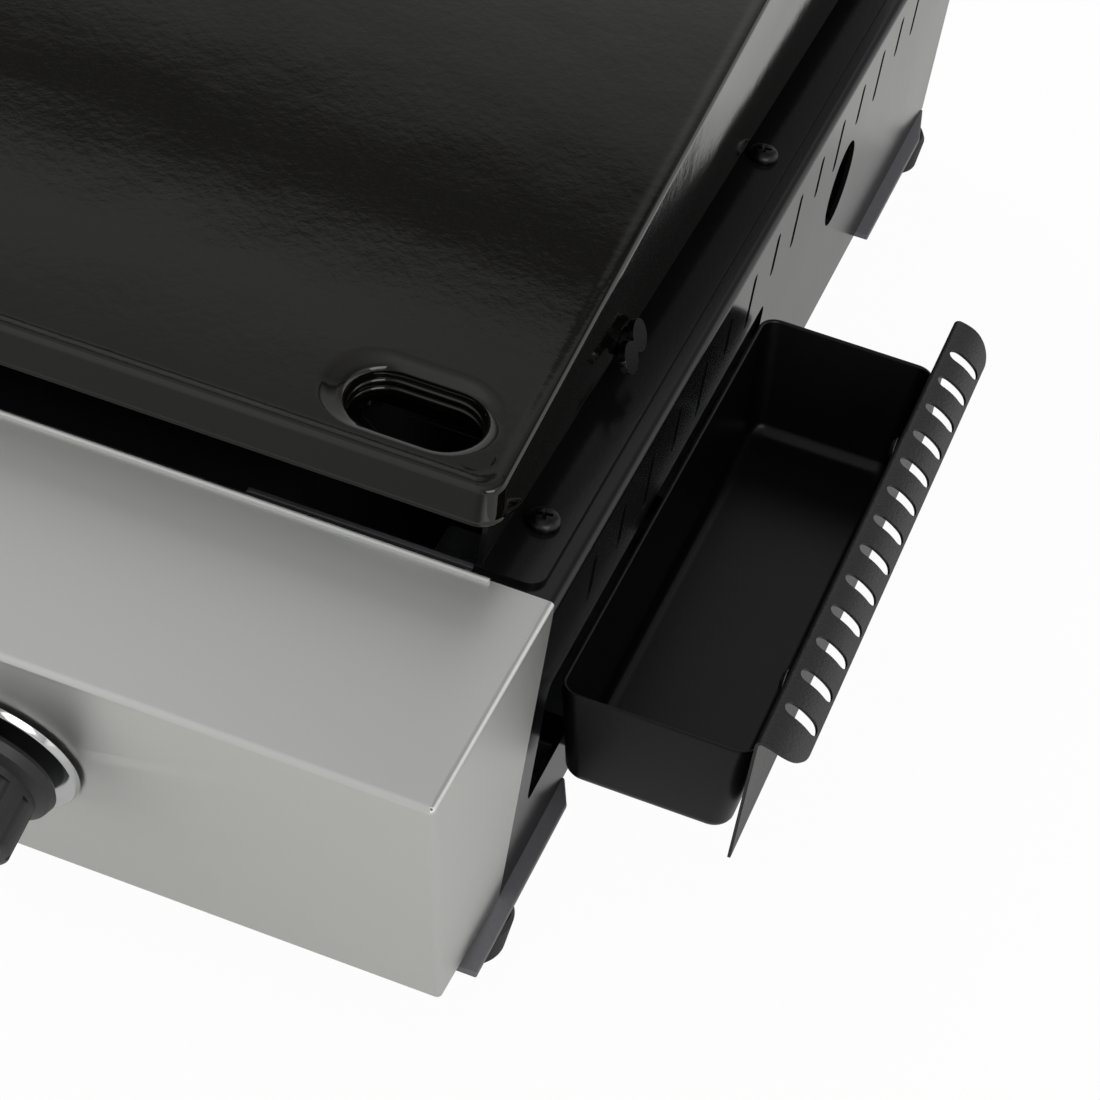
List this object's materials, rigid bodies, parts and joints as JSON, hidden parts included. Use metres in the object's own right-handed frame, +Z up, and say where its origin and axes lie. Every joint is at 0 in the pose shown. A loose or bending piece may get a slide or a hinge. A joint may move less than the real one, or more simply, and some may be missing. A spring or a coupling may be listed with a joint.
{
  "type": "gas griddle",
  "caption": "Table-top gas griddle: sloping enamelled plate with a drain, steel control box with knobs, and a fat drawer at its right side.",
  "frame": {"origin": "on the ground, under the middle of the griddle's box with the drawer drawn out", "axes": "+X to the right, where the drawer is; +Y to the back; +Z up"},
  "size_m": [0.7277, 0.595, 0.2208],
  "materials": {
    "powder_black": "satin powder coat",
    "drawer_black": "fine-textured matt powder coat",
    "stainless": "brushed",
    "plate_enamel": "gloss enamel",
    "galvanised": "galvanised",
    "burner_steel": "satin",
    "brass": "satin",
    "pipe_steel": "satin",
    "bezel_metal": "polished",
    "knob_plastic": "matt",
    "ceramic": "glazed",
    "rivet_steel": "satin",
    "screw_black": "black oxide",
    "thumb_steel": "dark zinc",
    "rubber": "matt"
  },
  "bodies": {
    "frame": {"body": "powder_black", "back_panel": "powder_black", "back_screws": "screw_black", "front_wall": "powder_black", "bottom_shield": "galvanised", "control_box": "stainless", "foot_plate_fr": "powder_black", "foot_plate_fl": "powder_black", "foot_plate_rr": "powder_black", "foot_plate_rl": "powder_black", "foot_fr": "rubber", "foot_fl": "rubber", "foot_rr": "rubber", "foot_rl": "rubber", "rail_right": "powder_black", "rail_left": "powder_black", "rail_screws_right": "screw_black", "rail_screws_left": "screw_black", "drip_chute": "powder_black", "guide_front": "galvanised", "guide_rear": "galvanised", "burner_left": "burner_steel", "burner_mid": "burner_steel", "burner_right": "burner_steel", "burner_bar": "galvanised", "valve_left": "brass", "valve_mid": "brass", "valve_right": "brass", "gas_pipe": "pipe_steel", "gas_inlet": "brass", "bezel_left": "bezel_metal", "bezel_mid": "bezel_metal", "bezel_right": "bezel_metal", "igniter_collar": "knob_plastic", "electrode_left": "ceramic", "electrode_mid": "ceramic", "electrode_right": "ceramic"},
    "plate": {"griddle_plate": "plate_enamel"},
    "drawer": {"drawer_tray": "drawer_black", "drawer_arms": "powder_black", "drawer_handle": "drawer_black", "drawer_rivets": "rivet_steel"},
    "igniter": {"igniter_button": "knob_plastic"},
    "stem_left": {"stem_left": "pipe_steel"},
    "knob_left": {"knob_left": "knob_plastic"},
    "stem_mid": {"stem_mid": "pipe_steel"},
    "knob_mid": {"knob_mid": "knob_plastic"},
    "stem_right": {"stem_right": "pipe_steel"},
    "knob_right": {"knob_right": "knob_plastic"},
    "thumbscrew_right": {"thumbscrew_right": "thumb_steel"},
    "thumbscrew_left": {"thumbscrew_left": "thumb_steel"}
  },
  "joints": [
    {"name": "drawer_slide", "type": "slide", "parent": "frame", "child": "drawer", "axis": [1, 0, 0], "range_m": [-0.0578, 0.06]},
    {"name": "plate_lift", "type": "slide", "parent": "frame", "child": "plate", "axis": [0, 0, 1], "range_m": [0, 0.15]},
    {"name": "knob_left_push", "type": "slide", "parent": "frame", "child": "stem_left", "axis": [0, 0.9357, 0.3529], "range_m": [0, 0.002], "stiffness_N_per_m": 600},
    {"name": "knob_left_turn", "type": "hinge", "parent": "stem_left", "child": "knob_left", "pos_m": [-0.23285, -0.2654, 0.07575], "axis": [0, -0.9357, -0.3529], "range_deg": [0, 180]},
    {"name": "knob_mid_push", "type": "slide", "parent": "frame", "child": "stem_mid", "axis": [0, 0.9357, 0.3529], "range_m": [0, 0.002], "stiffness_N_per_m": 600},
    {"name": "knob_mid_turn", "type": "hinge", "parent": "stem_mid", "child": "knob_mid", "pos_m": [-0.03285, -0.2654, 0.07575], "axis": [0, -0.9357, -0.3529], "range_deg": [0, 180]},
    {"name": "knob_right_push", "type": "slide", "parent": "frame", "child": "stem_right", "axis": [0, 0.9357, 0.3529], "range_m": [0, 0.002], "stiffness_N_per_m": 600},
    {"name": "knob_right_turn", "type": "hinge", "parent": "stem_right", "child": "knob_right", "pos_m": [0.16715, -0.2654, 0.07575], "axis": [0, -0.9357, -0.3529], "range_deg": [0, 180]},
    {"name": "igniter_push", "type": "slide", "parent": "frame", "child": "igniter", "axis": [0, 0.9357, 0.3529], "range_m": [0, 0.004], "stiffness_N_per_m": 800},
    {"name": "thumbscrew_right_turn", "type": "hinge", "parent": "frame", "child": "thumbscrew_right", "pos_m": [0.26775, -0.09275, 0.1344], "axis": [1, 0, 0], "range_deg": [0, 360]},
    {"name": "thumbscrew_left_turn", "type": "hinge", "parent": "frame", "child": "thumbscrew_left", "pos_m": [-0.33345, -0.09275, 0.1344], "axis": [-1, 0, 0], "range_deg": [0, 360]}
  ]
}
